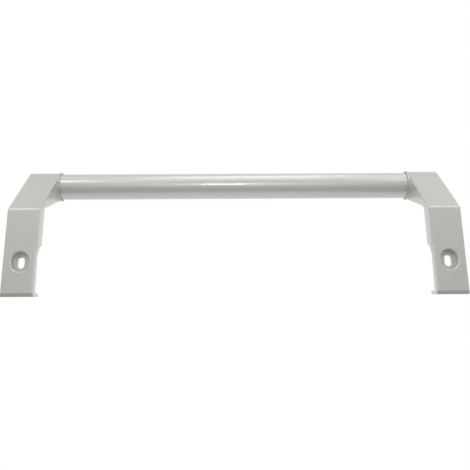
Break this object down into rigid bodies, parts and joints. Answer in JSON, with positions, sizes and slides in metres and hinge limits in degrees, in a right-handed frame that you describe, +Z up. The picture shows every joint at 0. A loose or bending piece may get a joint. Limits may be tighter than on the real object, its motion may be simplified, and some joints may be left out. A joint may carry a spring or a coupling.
{
  "type": "refrigerator door handle",
  "caption": "Bar handle for a refrigerator door: a round tube carried by angled moulded brackets with slotted screw legs, stepped hollow backs and hooked ends.",
  "frame": {"origin": "midway between the fixing screws, on the plane where the legs lie on the door's side", "axes": "+X along the bar, +Z up from the legs to the bar, +Y from the front of the legs towards the door"},
  "size_m": [0.31, 0.0579, 0.1047],
  "materials": {
    "bar_paint": "silver-grey satin paint on drawn tube",
    "bracket_paint": "silver-grey satin paint on a moulding"
  },
  "bodies": {
    "root": {"bar": "bar_paint", "left_bracket": "bracket_paint", "right_bracket": "bracket_paint"}
  },
  "joints": []
}
